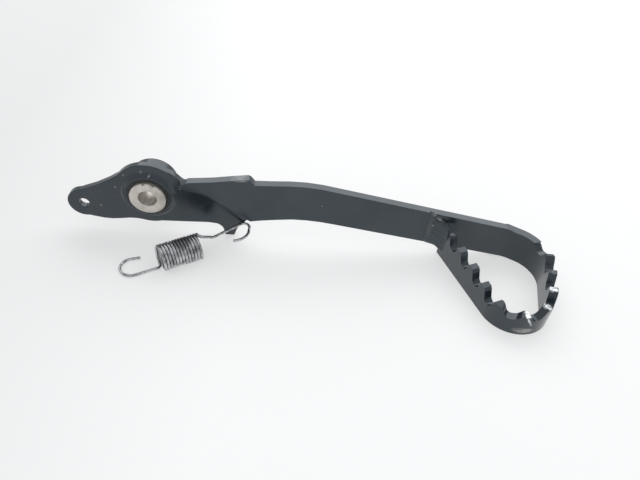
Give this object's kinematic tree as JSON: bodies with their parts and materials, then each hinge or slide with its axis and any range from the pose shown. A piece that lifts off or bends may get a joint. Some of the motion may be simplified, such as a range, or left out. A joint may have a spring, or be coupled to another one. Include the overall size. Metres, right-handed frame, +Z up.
{
  "type": "rear brake pedal",
  "caption": "Rear brake pedal for a motorbike: pivot sleeve in a welded tube, lever plate with a rod hole, bent steel arm with a toothed toe loop and its return spring.",
  "frame": {"origin": "on the pivot axis, in the lever plate's front face", "axes": "+X along the arm to the toe loop, +Y along the pivot axis away from the rider to the engine side, +Z up"},
  "size_m": [0.2722, 0.0795, 0.0459],
  "materials": {
    "black_paint": "semi-gloss black paint with worn edges and chips",
    "turned_steel": "turned, dull",
    "seal_rubber": "matt",
    "spring_wire": "bright drawn wire"
  },
  "bodies": {
    "pedal": {"lever_plate": "black_paint", "pedal_arm": "black_paint", "pivot_tube": "black_paint", "front_dust_seal": "seal_rubber", "rear_dust_seal": "seal_rubber", "tube_front_weld": "black_paint", "tube_rear_weld": "black_paint", "arm_seam_weld": "black_paint", "toe_weld": "black_paint", "return_spring": "spring_wire"},
    "sleeve": {"pivot_sleeve": "turned_steel"}
  },
  "joints": [
    {"name": "sleeve_turn", "type": "hinge", "parent": "pedal", "child": "sleeve", "pos_m": [0, 0, 0], "axis": [0, 1, 0], "continuous": true}
  ]
}
